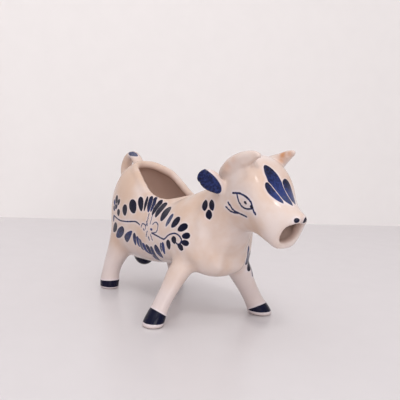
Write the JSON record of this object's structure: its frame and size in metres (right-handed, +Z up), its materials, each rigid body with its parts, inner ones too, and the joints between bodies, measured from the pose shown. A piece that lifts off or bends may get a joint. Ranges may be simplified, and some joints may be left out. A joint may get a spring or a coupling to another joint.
{
  "type": "cow creamer",
  "caption": "Hollow glazed pitcher in the shape of a standing cow: filled through the open back, poured from the mouth, held by the looped tail.",
  "frame": {"origin": "on the table, midway between the bow of the tail and the nose, on the middle plane of the cow", "axes": "+X from tail to nose, +Y to the cow's left, +Z up; the hooves stand on z = 0"},
  "size_m": [0.1533, 0.0742, 0.0883],
  "materials": {
    "cream_glaze": "clear glossy glaze over a warm cream body, with cobalt brushwork under it",
    "cobalt_glaze": "cobalt blue brushed on under a clear glossy glaze"
  },
  "bodies": {
    "root": {"body_shell": "cream_glaze", "head_shell": "cream_glaze", "front_left_leg": "cream_glaze", "front_right_leg": "cream_glaze", "rear_left_leg": "cream_glaze", "rear_right_leg": "cream_glaze", "left_horn": "cream_glaze", "right_horn": "cream_glaze", "left_ear": "cobalt_glaze", "right_ear": "cobalt_glaze", "tail_handle": "cream_glaze", "udder": "cobalt_glaze"}
  },
  "joints": []
}
